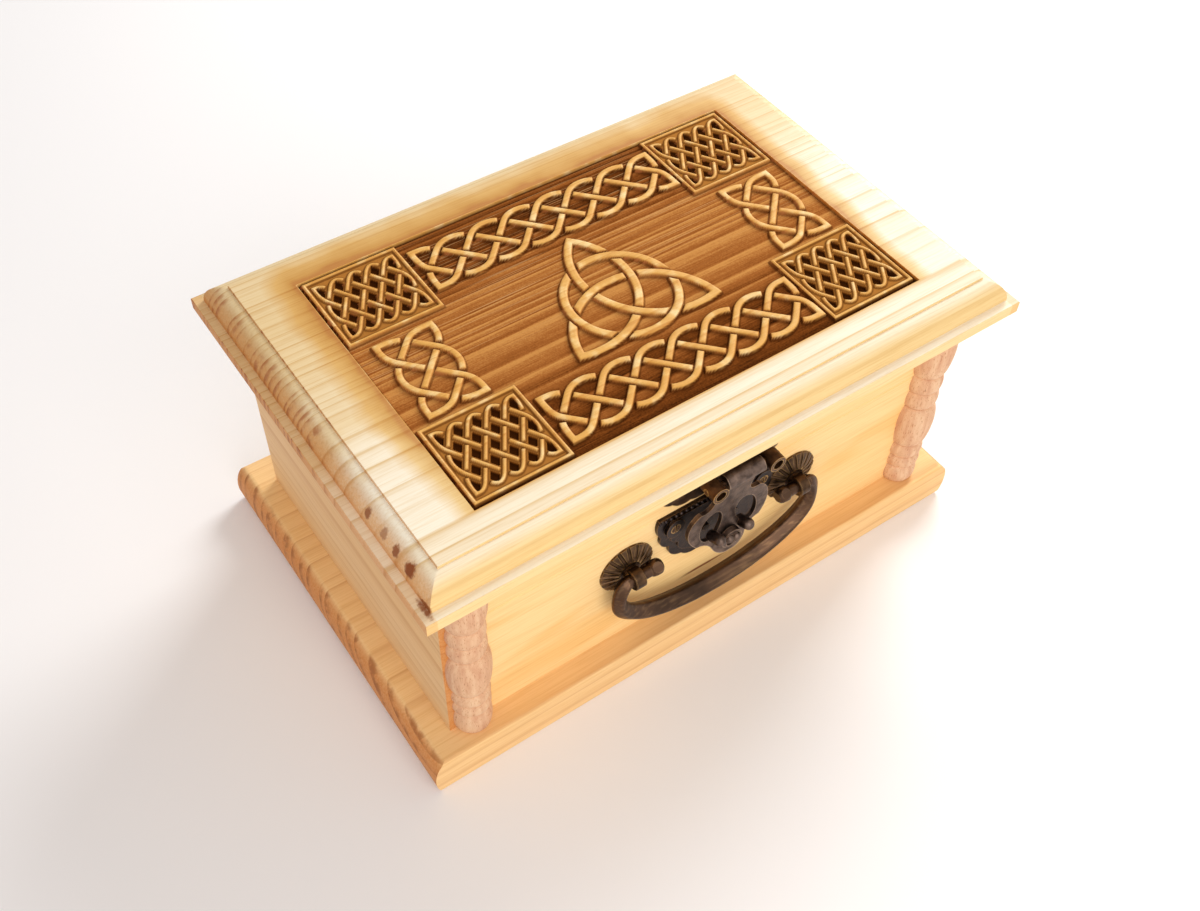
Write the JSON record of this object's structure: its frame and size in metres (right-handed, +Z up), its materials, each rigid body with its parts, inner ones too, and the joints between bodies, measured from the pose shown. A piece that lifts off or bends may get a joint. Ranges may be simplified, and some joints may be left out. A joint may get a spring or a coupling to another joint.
{
  "type": "keepsake box",
  "caption": "Wooden casket with hinged carved knotwork lid, split turned corner columns, drop handle and butterfly hasp latch.",
  "frame": {"origin": "on the underside of the base board, below the middle of the lid", "axes": "+X along the front to the right, +Y from the front to the back, +Z up"},
  "size_m": [0.2422, 0.1611, 0.12],
  "materials": {
    "pine_lid": "carved and scorched pine, matt varnish",
    "pine_body": "planed pine, matt varnish",
    "pine_base": "planed pine, matt varnish",
    "turned_wood": "turned, matt varnish",
    "antique_bronze": "antiqued, rubbed on the edges",
    "steel_fixings": "yellow passivated"
  },
  "bodies": {
    "box": {"back_board": "pine_body", "bail_post_left": "antique_bronze", "bail_post_right": "antique_bronze", "base_board": "pine_base", "base_screws": "steel_fixings", "catch_plate": "antique_bronze", "catch_screws": "antique_bronze", "column_left_lower": "turned_wood", "column_right_lower": "turned_wood", "front_board": "pine_body", "hinge_body_screws": "steel_fixings", "hinge_left_body_leaf": "antique_bronze", "hinge_left_pin": "antique_bronze", "hinge_right_body_leaf": "antique_bronze", "hinge_right_pin": "antique_bronze", "left_side": "pine_body", "post_nuts": "steel_fixings", "right_side": "pine_body", "rosette_left": "antique_bronze", "rosette_right": "antique_bronze"},
    "lid": {"column_left_upper": "turned_wood", "column_right_upper": "turned_wood", "hasp_leaf": "antique_bronze", "hasp_leaf_nails": "antique_bronze", "hasp_pin": "antique_bronze", "hinge_left_lid_leaf": "antique_bronze", "hinge_lid_screws": "steel_fixings", "hinge_right_lid_leaf": "antique_bronze", "lid_board": "pine_lid", "rim_back": "pine_body", "rim_front": "pine_body", "rim_left": "pine_body", "rim_right": "pine_body"},
    "hasp": {"hasp": "antique_bronze"},
    "bail": {"bail": "antique_bronze"}
  },
  "joints": [
    {"name": "lid_hinge", "type": "hinge", "parent": "box", "child": "lid", "pos_m": [0, 0.0692, 0.077], "axis": [-1, 0, 0], "range_deg": [0, 105]},
    {"name": "hasp_swing", "type": "hinge", "parent": "lid", "child": "hasp", "pos_m": [0, -0.0766, 0.095], "axis": [-1, 0, 0], "range_deg": [0, 110]},
    {"name": "bail_swing", "type": "hinge", "parent": "box", "child": "bail", "pos_m": [0, -0.072, 0.0592], "axis": [-1, 0, 0], "range_deg": [0, 130]}
  ]
}
